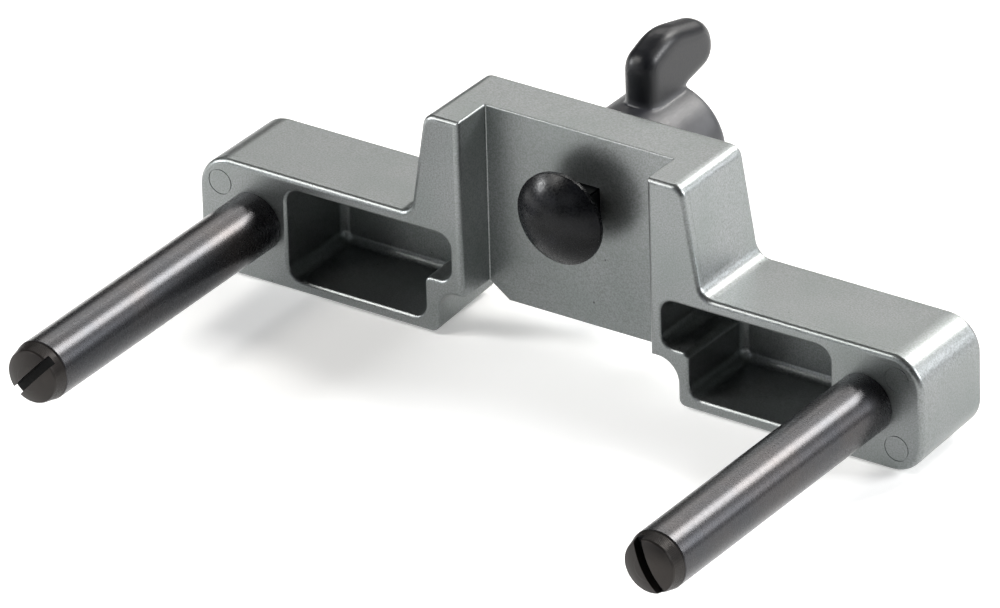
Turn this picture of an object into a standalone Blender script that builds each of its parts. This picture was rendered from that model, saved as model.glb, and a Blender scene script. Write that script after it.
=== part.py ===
"""Dovetail jig: a die-cast bracket with two guide rods that clamps to a T-slotted beam.

Units are metres, +Z is up, +X runs along the length and the guide rods point towards -Y.
The bracket is modelled from its own datum, which is the middle of its length, the front
face of its arms and the underside of its feet. An empty then shifts the whole assembly
so that the origin is under the middle of its bounding box.
"""

import math

import bmesh
import bpy
from mathutils import Vector

MM = 0.001

# Bracket: overall sizes
LENGTH = 127.6 * MM
ARM_HEIGHT = 19.05 * MM
DEPTH = 16.5 * MM
YOKE_HEIGHT = 36.4 * MM
WALL = 2.0 * MM

# Bracket: the yoke, whose two cheeks and web straddle the beam
CHANNEL_WIDTH = 33.1 * MM
WEB_FRONT = 7.35 * MM
CHEEK_TOP = 6.15 * MM
CHEEK_ROOT = 9.0 * MM
CHEEK_BOTTOM = 7.2 * MM
WEB_BOTTOM = 4.47 * MM
WEB_CHAMFER = 3.2 * MM
FOOT_INNER = 4.7 * MM

# Bracket: roundings and draft
END_ROUND = 5.5 * MM
YOKE_ROUND = 2.2 * MM
ROOT_ROUND = 2.5 * MM
FOOT_ROUND = 1.3 * MM
SHOULDER_ROUND = 3.5 * MM
FRONT_ROUND = 0.9 * MM
BACK_ROUND = 0.8 * MM
TOP_DRAFT = 0.010
FOOT_DRAFT = 0.042

# Pockets cored into the front of each arm
POCKET_BACK_WALL = 2.5 * MM
POCKET_TO_ROD = 1.12 * MM
POCKET_ROUND = 2.3 * MM
POCKET_DRAFT = 0.03
POCKET_FLOOR_ROUND = 1.0 * MM

# Guide rods, screwed into the ends of the arms
ROD_DIAMETER = 9.525 * MM
ROD_INSET = 9.92 * MM
ROD_RISE = 0.375 * MM
ROD_REACH = 57.15 * MM
ROD_SHOULDER = 0.79 * MM
STUD_BACK_WALL = 5.2 * MM
STUD_CHAMFER = 0.8 * MM
ROD_TIP_LENGTH = 3.2 * MM
ROD_TIP_TAPER = 0.66 * MM
ROD_TIP_DOME = 0.9 * MM
ROD_SLOT_WIDTH = 1.5 * MM
ROD_SLOT_DEPTH = 2.0 * MM
LEFT_SLOT_TURN = math.radians(43.0)
RIGHT_SLOT_TURN = math.radians(-28.0)

# Clamp: carriage bolt, washer and wing knob on one axis
BOLT_BELOW_TOP = 12.0 * MM
BOLT_DIAMETER = 6.35 * MM
BOLT_PROUD = 0.95 * MM
BOLT_END_CHAMFER = 0.9 * MM
BOLT_HEAD_DIAMETER = 14.7 * MM
BOLT_HEAD_RIM = 0.7 * MM
BOLT_HEAD_DOME = 3.0 * MM
THREAD_DEPTH = 0.3 * MM
NECK_IN_WEB = 0.65 * MM
HEAD_GAP = 4.95 * MM
WASHER_BORDER = 4.775 * MM
WASHER_THICKNESS = 1.6 * MM
KNOB_DIAMETER = 18.7 * MM
KNOB_LENGTH = 14.5 * MM
HUB_FRONT_ROUND = 0.6 * MM
HUB_BACK_ROUND = 1.6 * MM
INSERT_WALL = 1.275 * MM
INSERT_COVER = 3.5 * MM
WING_THICKNESS = 5.5 * MM
WING_LENGTH = 10.15 * MM
WING_OVERHANG = 7.1 * MM
WING_WAIST = 1.0 * MM
WING_WAIST_ROUND = 2.0 * MM
WING_FRONT_SETBACK = 3.4 * MM
WING_CROWN_SETBACK = 7.0 * MM
WING_FRONT_FALL = 2.5 * MM
WING_BACK_FALL = 2.8 * MM
WING_HEEL_RISE = 0.6 * MM
WING_ROUND = 1.6 * MM
WING_HEEL_ROUND = 3.4 * MM
WING_BACK_ROUND = 4.5 * MM
WING_CROWN_ROUND = 9.0 * MM
WING_FRONT_ROUND = 3.4 * MM

# Clearances
SEAT_GAP = 0.3 * MM
BORE_GAP = 0.3 * MM

# Smoothness of the curves, and how far a cutter reaches past the surface that it opens
SIDES = 48
ARC_STEP = math.radians(15.0)
EDGE_STEPS = 3
DOME_STEPS = 6
FEWEST_STEPS = 2
SMALLEST_ROUND = 0.1 * MM
SHARP_ANGLE = math.radians(35.0)
CUT_MARGIN = 2.0 * MM

# Places along the length, the height and the bolt's axis that follow from the sizes
ROD_OFFSET = LENGTH / 2 - ROD_INSET
ROD_HEIGHT = ARM_HEIGHT / 2 + ROD_RISE
POCKET_OUTER = ROD_OFFSET - ROD_DIAMETER / 2 - POCKET_TO_ROD
POCKET_DEPTH = DEPTH - POCKET_BACK_WALL
STUD_DIAMETER = ROD_DIAMETER - 2 * ROD_SHOULDER
BORE_DEPTH = DEPTH - STUD_BACK_WALL
ROD_TIP = -(SEAT_GAP + ROD_REACH)
BOLT_HEIGHT = YOKE_HEIGHT - BOLT_BELOW_TOP
BOLT_SEAT = WEB_FRONT - HEAD_GAP
NECK_END = WEB_FRONT + NECK_IN_WEB
BOLT_BORE = BOLT_DIAMETER + 2 * BORE_GAP
WASHER_DIAMETER = BOLT_BORE + 2 * (WASHER_BORDER - BORE_GAP)
INSERT_DIAMETER = BOLT_BORE + 2 * INSERT_WALL
WASHER_FRONT = DEPTH + SEAT_GAP
KNOB_FRONT = WASHER_FRONT + WASHER_THICKNESS + SEAT_GAP
KNOB_BACK = KNOB_FRONT + KNOB_LENGTH
INSERT_END = KNOB_BACK - INSERT_COVER
BOLT_END = KNOB_BACK + BOLT_PROUD
WING_BACK = KNOB_BACK + WING_OVERHANG
ORIGIN_SHIFT = -(ROD_TIP + WING_BACK) / 2


def clear_scene():
    """Removes every object that the scene starts with."""
    for scene_object in list(bpy.data.objects):
        bpy.data.objects.remove(scene_object, do_unlink=True)


def make_material(name, color, roughness, metallic):
    """A Principled material with one colour and finish."""
    material = bpy.data.materials.new(name)
    material.use_nodes = True
    shader = material.node_tree.nodes["Principled BSDF"]
    shader.inputs["Base Color"].default_value = (*color, 1.0)
    shader.inputs["Roughness"].default_value = roughness
    shader.inputs["Metallic"].default_value = metallic
    return material


def make_object(name, mesh_builder, material, parent, location=(0.0, 0.0, 0.0), turn=0.0):
    """Turns a bmesh into a smooth-shaded object on its parent. The turn is about Y."""
    mesh_builder.normal_update()
    mesh = bpy.data.meshes.new(name)
    mesh_builder.to_mesh(mesh)
    mesh_builder.free()
    mesh.shade_smooth()
    mesh.set_sharp_from_angle(angle=SHARP_ANGLE)
    mesh.materials.append(material)
    new_object = bpy.data.objects.new(name, mesh)
    new_object.parent = parent
    new_object.location = location
    new_object.rotation_euler = (0.0, turn, 0.0)
    bpy.context.collection.objects.link(new_object)
    return new_object


def make_cutter(name, mesh_builder, parent, location=(0.0, 0.0, 0.0), turn=0.0):
    """A hidden object that only shapes its neighbours."""
    tint = make_material(name, (1.0, 0.0, 0.0), 0.5, 0.0)
    cutter = make_object(name, mesh_builder, tint, parent, location, turn)
    cutter.hide_render = True
    cutter.display_type = "WIRE"
    return cutter


def combine(target, other, operation):
    """Adds an exact Boolean of the other object to the target."""
    modifier = target.modifiers.new(other.name, "BOOLEAN")
    modifier.operation = operation
    modifier.solver = "EXACT"
    modifier.object = other


def offset_corners(corners, depth, inset):
    """The corners of a closed outline after each edge has moved inwards.

    Each corner is (x, z, radius, draft). An edge starts at its corner, and moves by the
    inset plus its draft times the depth. The outline runs anticlockwise seen from -Y.
    """
    lines = []
    for index, (x, z, _, draft) in enumerate(corners):
        following = corners[(index + 1) % len(corners)]
        direction = Vector((following[0] - x, following[1] - z)).normalized()
        inward = Vector((-direction.y, direction.x))
        lines.append((Vector((x, z)) + inward * (inset + draft * depth), direction))
    moved = []
    for index in range(len(corners)):
        start, before = lines[index - 1]
        other, after = lines[index]
        along = (other - start).cross(after) / before.cross(after)
        moved.append((start + before * along, before, after))
    return moved


def section(corners, depth, inset=0.0):
    """The points of an outline at a depth, with its corners rounded."""
    points = []
    moved = offset_corners(corners, depth, inset)
    for (_, _, radius, draft), (corner, before, after) in zip(corners, moved):
        turn = math.atan2(before.cross(after), before.dot(after))
        bend = 1.0 if turn > 0 else -1.0
        shrunk = radius - bend * (inset + draft * depth)
        rounded = max(shrunk, SMALLEST_ROUND) if radius else 0.0
        if not rounded:
            points.append(corner)
            continue
        reach = rounded * math.tan(abs(turn) / 2)
        start = corner - before * reach
        centre = start + Vector((-before.y, before.x)) * rounded * bend
        steps = max(FEWEST_STEPS, math.ceil(abs(turn) / ARC_STEP))
        for step in range(steps + 1):
            swing = turn * step / steps
            spoke = start - centre
            turned = Vector((spoke.x * math.cos(swing) - spoke.y * math.sin(swing),
                             spoke.x * math.sin(swing) + spoke.y * math.cos(swing)))
            points.append(centre + turned)
    return points


def loft(rings):
    """A closed solid through rings of points, each ring (y, points), from front to back."""
    builder = bmesh.new()
    loops = [[builder.verts.new((p.x, y, p.y)) for p in points] for y, points in rings]
    for front, back in zip(loops, loops[1:]):
        count = len(front)
        for index in range(count):
            following = (index + 1) % count
            builder.faces.new((front[index], back[index], back[following], front[following]))
    builder.faces.new(loops[0])
    builder.faces.new(list(reversed(loops[-1])))
    bmesh.ops.recalc_face_normals(builder, faces=builder.faces[:])
    bmesh.ops.triangulate(builder, faces=[f for f in builder.faces if len(f.verts) > 4])
    return builder


def turned(profile):
    """A solid of revolution about Y, from (y, radius) points that start and end on the axis."""
    builder = bmesh.new()
    first = builder.verts.new((0.0, profile[0][0], 0.0))
    last = builder.verts.new((0.0, profile[-1][0], 0.0))
    loops = []
    for y, radius in profile[1:-1]:
        loop = []
        for side in range(SIDES):
            angle = math.tau * side / SIDES
            loop.append(builder.verts.new((radius * math.cos(angle), y, radius * math.sin(angle))))
        loops.append(loop)
    for side in range(SIDES):
        following = (side + 1) % SIDES
        builder.faces.new((first, loops[0][side], loops[0][following]))
        builder.faces.new((last, loops[-1][following], loops[-1][side]))
        for front, back in zip(loops, loops[1:]):
            builder.faces.new((front[side], back[side], back[following], front[following]))
    bmesh.ops.recalc_face_normals(builder, faces=builder.faces[:])
    return builder


def cylinder(front, back, diameter):
    """A plain cylinder along Y."""
    radius = diameter / 2
    return turned([(front, 0.0), (front, radius), (back, radius), (back, 0.0)])


def box(low, high):
    """A box between two corners."""
    low, high = Vector(low), Vector(high)
    builder = bmesh.new()
    bmesh.ops.create_cube(builder, size=1.0)
    size = high - low
    for vertex in builder.verts:
        vertex.co = Vector(low[i] + (vertex.co[i] + 0.5) * size[i] for i in range(3))
    return builder


def mirrored(corners):
    """The same outline reflected in the middle of the length."""
    flipped = [(-x, z, radius, 0.0) for x, z, radius, _ in reversed(corners)]
    drafts = [draft for _, _, _, draft in reversed(corners)]
    shifted = drafts[1:] + drafts[:1]
    return [(x, z, radius, draft) for (x, z, radius, _), draft in zip(flipped, shifted)]


def bracket_outline():
    """The whole front outline of the bracket: feet, arms and yoke, anticlockwise from -Y."""
    inner = CHANNEL_WIDTH / 2
    end = LENGTH / 2
    foot = inner + FOOT_INNER
    right = [
        (inner - WEB_CHAMFER, WEB_BOTTOM, 0.0, 0.0),
        (inner, CHEEK_BOTTOM, 0.0, FOOT_DRAFT),
        (foot, CHEEK_BOTTOM, SHOULDER_ROUND, FOOT_DRAFT),
        (foot, 0.0, FOOT_ROUND, FOOT_DRAFT),
        (end, 0.0, END_ROUND, TOP_DRAFT),
        (end, ARM_HEIGHT, END_ROUND, TOP_DRAFT),
        (inner + CHEEK_ROOT, ARM_HEIGHT, ROOT_ROUND, TOP_DRAFT),
        (inner + CHEEK_TOP, YOKE_HEIGHT, YOKE_ROUND, TOP_DRAFT),
    ]
    left = mirrored(right)
    left[-1] = (*left[-1][:3], 0.0)
    return right + left


def casting_rings(corners):
    """Rings of the drafted casting, with its front and back edges rounded."""
    rings = []
    for step in range(EDGE_STEPS + 1):
        angle = math.pi / 2 * step / EDGE_STEPS
        depth = FRONT_ROUND * (1 - math.cos(angle))
        rings.append((depth, section(corners, depth, FRONT_ROUND * (1 - math.sin(angle)))))
    for step in range(EDGE_STEPS + 1):
        angle = math.pi / 2 * step / EDGE_STEPS
        depth = DEPTH - BACK_ROUND * (1 - math.sin(angle))
        rings.append((depth, section(corners, depth, BACK_ROUND * (1 - math.cos(angle)))))
    return rings


def pocket_outline():
    """The mouth of the right arm's pocket, which keeps one wall thickness to the outside."""
    inner = CHANNEL_WIDTH / 2 + WALL
    foot = CHANNEL_WIDTH / 2 + FOOT_INNER + WALL
    outer = POCKET_OUTER
    step_height = CHEEK_BOTTOM + WALL
    top = ARM_HEIGHT - WALL
    return [
        (foot, WALL, POCKET_ROUND, POCKET_DRAFT),
        (outer, WALL, POCKET_ROUND, POCKET_DRAFT),
        (outer, top, POCKET_ROUND, POCKET_DRAFT),
        (inner, top, POCKET_ROUND, POCKET_DRAFT),
        (inner, step_height, POCKET_ROUND, POCKET_DRAFT),
        (foot, step_height, WALL / 2, POCKET_DRAFT),
    ]


def pocket_cutter(corners):
    """The core of a pocket: open past the front face, with a rounded floor."""
    rings = [(-CUT_MARGIN, section(corners, 0.0)), (0.0, section(corners, 0.0))]
    floor_start = POCKET_DEPTH - POCKET_FLOOR_ROUND
    for step in range(FEWEST_STEPS + 1):
        angle = math.pi / 2 * step / FEWEST_STEPS
        y = floor_start + POCKET_FLOOR_ROUND * math.sin(angle)
        rings.append((y, section(corners, y, POCKET_FLOOR_ROUND * (1 - math.cos(angle)))))
    return loft(rings)


def channel_cutter():
    """The slot in front of the web. Its mouth flares to round the cheeks' front edges."""
    half = CHANNEL_WIDTH / 2
    flare = FRONT_ROUND
    sides = [(half, WEB_FRONT)]
    for step in range(EDGE_STEPS + 1):
        angle = math.pi / 2 * step / EDGE_STEPS
        sides.append((half + flare * (1 - math.cos(angle)), flare * (1 - math.sin(angle))))
    sides.append((half + flare, -CUT_MARGIN))
    plan = sides + [(-x, y) for x, y in reversed(sides)]
    low, high = -CUT_MARGIN, YOKE_HEIGHT + CUT_MARGIN
    builder = bmesh.new()
    bottom = [builder.verts.new((x, y, low)) for x, y in plan]
    top = [builder.verts.new((x, y, high)) for x, y in plan]
    for index in range(len(plan)):
        following = (index + 1) % len(plan)
        builder.faces.new((bottom[index], bottom[following], top[following], top[index]))
    builder.faces.new(list(reversed(bottom)))
    builder.faces.new(top)
    bmesh.ops.recalc_face_normals(builder, faces=builder.faces[:])
    return builder


def build_bracket(parent):
    """The die-cast bracket, cored with pockets, stud bores and the bolt's square hole."""
    metal = make_material("silver_painted_zinc", (0.42, 0.44, 0.43), 0.42, 0.55)
    bracket = make_object("bracket_casting", loft(casting_rings(bracket_outline())), metal, parent)
    cores = [("channel_core", channel_cutter(), (0.0, 0.0, 0.0))]
    for side, sign in (("right", 1), ("left", -1)):
        corners = pocket_outline() if sign > 0 else mirrored(pocket_outline())
        cores.append((f"{side}_pocket_core", pocket_cutter(corners), (0.0, 0.0, 0.0)))
        bore = cylinder(-CUT_MARGIN, BORE_DEPTH, STUD_DIAMETER + 2 * BORE_GAP)
        cores.append((f"{side}_bore_core", bore, (sign * ROD_OFFSET, 0.0, ROD_HEIGHT)))
    half = BOLT_BORE / 2
    hole = box((-half, 0.0, -half), (half, DEPTH + CUT_MARGIN, half))
    cores.append(("bolt_hole_core", hole, (0.0, 0.0, BOLT_HEIGHT)))
    for name, core, place in cores:
        combine(bracket, make_cutter(name, core, parent, place), "DIFFERENCE")
    return bracket


def rod_profile():
    """The guide rod's turned outline, from its domed tip to the end of its stud."""
    radius = ROD_DIAMETER / 2
    rim = radius - ROD_TIP_TAPER
    stud = STUD_DIAMETER / 2
    stud_end = BORE_DEPTH - SEAT_GAP
    profile = []
    for step in range(EDGE_STEPS + 1):
        angle = math.pi / 2 * step / EDGE_STEPS
        profile.append((ROD_TIP + ROD_TIP_DOME * (1 - math.cos(angle)), rim * math.sin(angle)))
    profile.append((ROD_TIP + ROD_TIP_LENGTH, radius))
    profile.append((-SEAT_GAP, radius))
    profile.append((-SEAT_GAP, stud))
    profile.append((stud_end - STUD_CHAMFER, stud))
    profile.append((stud_end, stud - STUD_CHAMFER))
    profile.append((stud_end, 0.0))
    return profile


def build_rods(parent):
    """The two black guide rods, each with a screwdriver slot across its tip."""
    steel = make_material("black_oxide_steel", (0.035, 0.036, 0.04), 0.32, 0.9)
    half = ROD_SLOT_WIDTH / 2
    low = (-half, ROD_TIP - CUT_MARGIN, -ROD_DIAMETER)
    high = (half, ROD_TIP + ROD_SLOT_DEPTH, ROD_DIAMETER)
    for side, x, turn in (("left", -ROD_OFFSET, LEFT_SLOT_TURN), ("right", ROD_OFFSET, RIGHT_SLOT_TURN)):
        place = (x, 0.0, ROD_HEIGHT)
        rod = make_object(f"{side}_guide_rod", turned(rod_profile()), steel, parent, place)
        slot = make_cutter(f"{side}_tip_slot", box(low, high), parent, place, turn)
        combine(rod, slot, "DIFFERENCE")


def bolt_head_profile():
    """The mushroom head: a shallow dome over a thin straight rim."""
    half = BOLT_HEAD_DIAMETER / 2
    crown = BOLT_SEAT - BOLT_HEAD_RIM - BOLT_HEAD_DOME
    sphere = (half ** 2 + BOLT_HEAD_DOME ** 2) / (2 * BOLT_HEAD_DOME)
    spread = math.asin(half / sphere)
    profile = []
    for step in range(DOME_STEPS + 1):
        angle = spread * step / DOME_STEPS
        profile.append((crown + sphere * (1 - math.cos(angle)), sphere * math.sin(angle)))
    profile.append((BOLT_SEAT, half))
    profile.append((BOLT_SEAT, 0.0))
    return profile


def build_bolt(parent):
    """The carriage bolt, whose square neck slides in the bracket's square hole."""
    steel = make_material("black_zinc_bolt", (0.02, 0.02, 0.023), 0.4, 0.8)
    place = (0.0, 0.0, BOLT_HEIGHT)
    bolt = make_object("carriage_bolt", turned(bolt_head_profile()), steel, parent, place)
    half = BOLT_DIAMETER / 2
    neck = box((-half, BOLT_SEAT - BOLT_HEAD_RIM, -half), (half, NECK_END, half))
    combine(bolt, make_cutter("bolt_neck", neck, parent, place), "UNION")
    core = half - THREAD_DEPTH
    shank = [
        (BOLT_SEAT, 0.0),
        (BOLT_SEAT, core),
        (BOLT_END - BOLT_END_CHAMFER, core),
        (BOLT_END, core - BOLT_END_CHAMFER),
        (BOLT_END, 0.0),
    ]
    combine(bolt, make_cutter("bolt_shank", turned(shank), parent, place), "UNION")
    return bolt


def build_washer(parent):
    """The flat washer between the web and the knob."""
    steel = make_material("zinc_plated_steel", (0.55, 0.55, 0.53), 0.35, 0.95)
    place = (0.0, 0.0, BOLT_HEIGHT)
    disc = cylinder(WASHER_FRONT, WASHER_FRONT + WASHER_THICKNESS, WASHER_DIAMETER)
    washer = make_object("flat_washer", disc, steel, parent, place)
    hole = cylinder(WASHER_FRONT - CUT_MARGIN, KNOB_FRONT + CUT_MARGIN, BOLT_BORE)
    combine(washer, make_cutter("washer_hole", hole, parent, place), "DIFFERENCE")
    return washer


def wing_outline():
    """One wing in the (y, z) plane about the knob's axis: swept back, with a waist at the hub."""
    front = KNOB_FRONT + WING_FRONT_SETBACK
    hub = KNOB_DIAMETER / 2
    tip = hub + WING_LENGTH
    return [
        (front, 0.0, 0.0),
        (KNOB_BACK - 2 * WING_WAIST, 0.0, 0.0),
        (KNOB_BACK - WING_WAIST, hub - WING_WAIST, WING_WAIST_ROUND),
        (WING_BACK, hub + WING_HEEL_RISE, WING_HEEL_ROUND),
        (WING_BACK, tip - WING_BACK_FALL, WING_BACK_ROUND),
        (front + WING_CROWN_SETBACK, tip, WING_CROWN_ROUND),
        (front, tip - WING_FRONT_FALL, WING_FRONT_ROUND),
    ]


def wing_plate():
    """A flat plate with a wing's outline, as thick as the wing."""
    outline = section([(y, z, rounding, 0.0) for y, z, rounding in wing_outline()], 0.0)
    half = WING_THICKNESS / 2
    builder = bmesh.new()
    near = [builder.verts.new((half, p.x, p.y)) for p in outline]
    far = [builder.verts.new((-half, p.x, p.y)) for p in outline]
    for index in range(len(outline)):
        following = (index + 1) % len(outline)
        builder.faces.new((near[index], far[index], far[following], near[following]))
    builder.faces.new(near)
    builder.faces.new(list(reversed(far)))
    bmesh.ops.recalc_face_normals(builder, faces=builder.faces[:])
    return builder


def hub_profile():
    """The round hub's turned outline, with its front edge eased and its back edge rounded."""
    radius = KNOB_DIAMETER / 2
    halfway = 1 - math.cos(math.pi / 4)
    return [
        (KNOB_FRONT, 0.0),
        (KNOB_FRONT, radius - HUB_FRONT_ROUND),
        (KNOB_FRONT + HUB_FRONT_ROUND, radius),
        (KNOB_BACK - HUB_BACK_ROUND, radius),
        (KNOB_BACK - HUB_BACK_ROUND * halfway, radius - HUB_BACK_ROUND * halfway),
        (KNOB_BACK, radius - HUB_BACK_ROUND),
        (KNOB_BACK, 0.0),
    ]


def build_knob(parent):
    """The moulded knob: a round hub with two swept wings, bored for its insert."""
    plastic = make_material("black_nylon", (0.028, 0.028, 0.032), 0.45, 0.0)
    place = (0.0, 0.0, BOLT_HEIGHT)
    knob = make_object("wing_knob", turned(hub_profile()), plastic, parent, place)
    for name, flip in (("upper_wing", 0.0), ("lower_wing", math.pi)):
        wing = make_cutter(name, wing_plate(), parent, place, flip)
        rounding = wing.modifiers.new("edge_rounding", "BEVEL")
        rounding.width = WING_ROUND
        rounding.segments = 2
        rounding.limit_method = "ANGLE"
        rounding.angle_limit = SHARP_ANGLE
        combine(knob, wing, "UNION")
    socket = cylinder(KNOB_FRONT - CUT_MARGIN, INSERT_END + SEAT_GAP, INSERT_DIAMETER + 2 * BORE_GAP)
    combine(knob, make_cutter("insert_socket", socket, parent, place), "DIFFERENCE")
    passage = cylinder(KNOB_FRONT - CUT_MARGIN, KNOB_BACK + CUT_MARGIN, BOLT_BORE)
    combine(knob, make_cutter("bolt_passage", passage, parent, place), "DIFFERENCE")
    return knob


def build_insert(parent):
    """The threaded bush moulded into the knob."""
    brass = make_material("brass_insert", (0.62, 0.47, 0.22), 0.35, 1.0)
    place = (0.0, 0.0, BOLT_HEIGHT)
    body = cylinder(KNOB_FRONT, INSERT_END, INSERT_DIAMETER)
    insert = make_object("knob_insert", body, brass, parent, place)
    hole = cylinder(KNOB_FRONT - CUT_MARGIN, KNOB_BACK, BOLT_BORE)
    combine(insert, make_cutter("insert_hole", hole, parent, place), "DIFFERENCE")
    return insert


def main():
    """Builds the jig under one empty."""
    clear_scene()
    assembly = bpy.data.objects.new("jig_datum", None)
    bpy.context.collection.objects.link(assembly)
    assembly.location = (0.0, ORIGIN_SHIFT, 0.0)
    build_bracket(assembly)
    build_rods(assembly)
    build_bolt(assembly)
    build_washer(assembly)
    build_insert(assembly)
    build_knob(assembly)


main()
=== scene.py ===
"""Dovetail jig guide: a cast bracket, two guide rods and a clamp, dressed for a studio picture.

Each class models one sub-assembly in millimetres on an axis or datum of its own, and the
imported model's boxes give the place of that datum. The bracket's datum is the middle of its
length, the front face of its arms and the underside of its feet.
"""

import logging
from dataclasses import dataclass
from enum import Enum
from math import asin, atan2, ceil, copysign, cos, pi, radians, sin, tan, tau
from typing import NamedTuple, Optional, Sequence, Union

import bmesh
import bpy
from bmesh.types import BMesh
from bpy.types import Material, Mesh, Node, NodeTree, Object
from bpy.types import NodeSocket as Socket
from mathutils import Matrix, Vector


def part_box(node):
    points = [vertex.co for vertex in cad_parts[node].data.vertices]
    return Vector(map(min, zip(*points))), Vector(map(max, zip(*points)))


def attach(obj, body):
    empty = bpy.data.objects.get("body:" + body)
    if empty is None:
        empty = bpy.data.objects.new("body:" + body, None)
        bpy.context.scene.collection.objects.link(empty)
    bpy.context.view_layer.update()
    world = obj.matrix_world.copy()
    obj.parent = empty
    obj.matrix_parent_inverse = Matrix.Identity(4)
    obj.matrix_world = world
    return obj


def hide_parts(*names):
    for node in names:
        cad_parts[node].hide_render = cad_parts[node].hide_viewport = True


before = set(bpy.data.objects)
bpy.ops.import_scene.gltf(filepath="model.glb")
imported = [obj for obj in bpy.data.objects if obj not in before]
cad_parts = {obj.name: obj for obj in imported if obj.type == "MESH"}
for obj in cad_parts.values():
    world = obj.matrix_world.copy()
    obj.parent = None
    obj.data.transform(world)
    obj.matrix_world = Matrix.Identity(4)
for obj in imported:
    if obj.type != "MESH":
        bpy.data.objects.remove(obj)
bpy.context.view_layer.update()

MM = 0.001
QUARTER = pi / 2
HEAL_DISTANCE = 0.0005
GRAINS = (0.3, 0.7)
WARM_WHITE = "FFFDFA"
COOL_WHITE = "F6F9FF"

logger = logging.getLogger("dovetail_jig")

Point = tuple[float, float]
Colour = Union[str, Socket]


class Body(Enum):
    """The bodies that pieces ride on."""

    BRACKET = "bracket"
    BOLT = "bolt"
    WASHER = "washer"
    KNOB = "knob"


class Slot(Enum):
    """The material slots."""

    PAINT = "silver_paint"
    OXIDE = "black_oxide_steel"
    BOLT = "black_bolt"
    ZINC = "zinc_plate"
    NYLON = "black_nylon"
    BRASS = "insert_brass"


class Cut(Enum):
    """How one solid changes another."""

    REMOVE = "DIFFERENCE"
    ADD = "UNION"


# Nodes and finishes


def linear(code: str) -> tuple[float, float, float, float]:
    """Turns an sRGB hex colour into linear light.

    Args:
        code: The colour as RRGGBB.

    Returns:
        Red, green, blue and an alpha of one.
    """
    channels = []
    for start in (0, 2, 4):
        value = int(code[start:start + 2], 16) / 255
        channels.append(value / 12.92 if value <= 0.04045 else ((value + 0.055) / 1.055) ** 2.4)
    return channels[0], channels[1], channels[2], 1.0


def feed(tree: NodeTree, socket: Socket, value: object) -> None:
    """Links an input to a socket, or gives it a plain value."""
    if isinstance(value, Socket):
        tree.links.new(value, socket)
    else:
        socket.default_value = value


def add_node(tree: NodeTree, kind: str, inputs: Optional[dict] = None, **settings: object) -> Node:
    """Adds a node with its settings, values and links.

    Args:
        tree: The tree that gets the node.
        kind: The node's type.
        inputs: Values by input name or number. A value that is a socket is linked.
        **settings: Properties of the node.

    Returns:
        The new node.
    """
    node = tree.nodes.new(kind)
    for key, value in settings.items():
        setattr(node, key, value)
    for key, value in (inputs or {}).items():
        feed(tree, node.inputs[key], value)
    return node


class Surface:
    """A material on Object coordinates, while its pattern is built."""

    def __init__(self, name: str) -> None:
        """Opens a material of that name."""
        self.material = bpy.data.materials.new(name)
        self.material.use_nodes = True
        self.tree = self.material.node_tree
        self.shader = self.tree.nodes["Principled BSDF"]
        self.coords = self.output("TexCoord", "Object")

    def output(self, kind: str, name: Union[str, int], inputs: Optional[dict] = None,
               **settings: object) -> Socket:
        """Adds a shader node and gives one of its outputs."""
        return add_node(self.tree, "ShaderNode" + kind, inputs, **settings).outputs[name]

    def set(self, name: str, value: object) -> None:
        """Gives the shader's input a value or a link."""
        feed(self.tree, self.shader.inputs[name], value)

    def noise(self, size: float, detail: float = 2.0,
              coords: Optional[Socket] = None) -> Socket:
        """A noise whose grains are about size millimetres wide."""
        vector = self.coords if coords is None else coords
        inputs = {"Vector": vector, "Scale": 1.0 / (size * MM), "Detail": detail}
        return self.output("TexNoise", "Fac", inputs, normalize=True)

    def spread(self, value: Socket, source: Point, target: Point = (0.0, 1.0)) -> Socket:
        """Maps a value from one range to another and clamps it."""
        inputs = {"Value": value, "From Min": source[0], "From Max": source[1],
                  "To Min": target[0], "To Max": target[1]}
        return self.output("MapRange", "Result", inputs, clamp=True)

    def blend(self, share: Socket, first: Colour, second: Colour) -> Socket:
        """Mixes two colours, each a hex code or a socket."""
        pair = [linear(c) if isinstance(c, str) else c for c in (first, second)]
        inputs = {0: share, 6: pair[0], 7: pair[1]}
        return self.output("Mix", 2, inputs, data_type="RGBA")

    def math(self, operation: str, *values: object) -> Socket:
        """The result of one sum."""
        return self.output("Math", 0, dict(enumerate(values)), operation=operation)

    def specks(self, spacing: float, reach: float, strength: float) -> Socket:
        """A mask of small dots about spacing millimetres apart."""
        inputs = {"Vector": self.coords, "Scale": 1.0 / (spacing * MM)}
        distance = self.output("TexVoronoi", "Distance", inputs)
        return self.math("MULTIPLY", self.math("LESS_THAN", distance, reach), strength)

    def relief(self, height: Socket, depth: float, strength: float) -> None:
        """Raises the surface by height, depth millimetres at most."""
        inputs = {"Height": height, "Distance": depth * MM, "Strength": strength}
        self.set("Normal", self.output("Bump", "Normal", inputs))


@dataclass(frozen=True)
class Finish:
    """A procedural material. Subclasses give its pattern."""

    name: str
    roughness: float
    metallic: float
    gloss: float = 0.5

    def build(self) -> Material:
        """Makes the material with its pattern."""
        on = Surface(self.name)
        on.set("Metallic", self.metallic)
        on.set("Roughness", self.roughness)
        on.set("Specular IOR Level", self.gloss)
        self.pattern(on)
        return on.material

    def pattern(self, on: Surface) -> None:
        """Adds colour, roughness and relief. Each finish has its own."""
        raise NotImplementedError

    def around(self, less: float, more: float) -> Point:
        """A range of roughness around this finish's own."""
        return self.roughness - less, self.roughness + more


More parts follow.
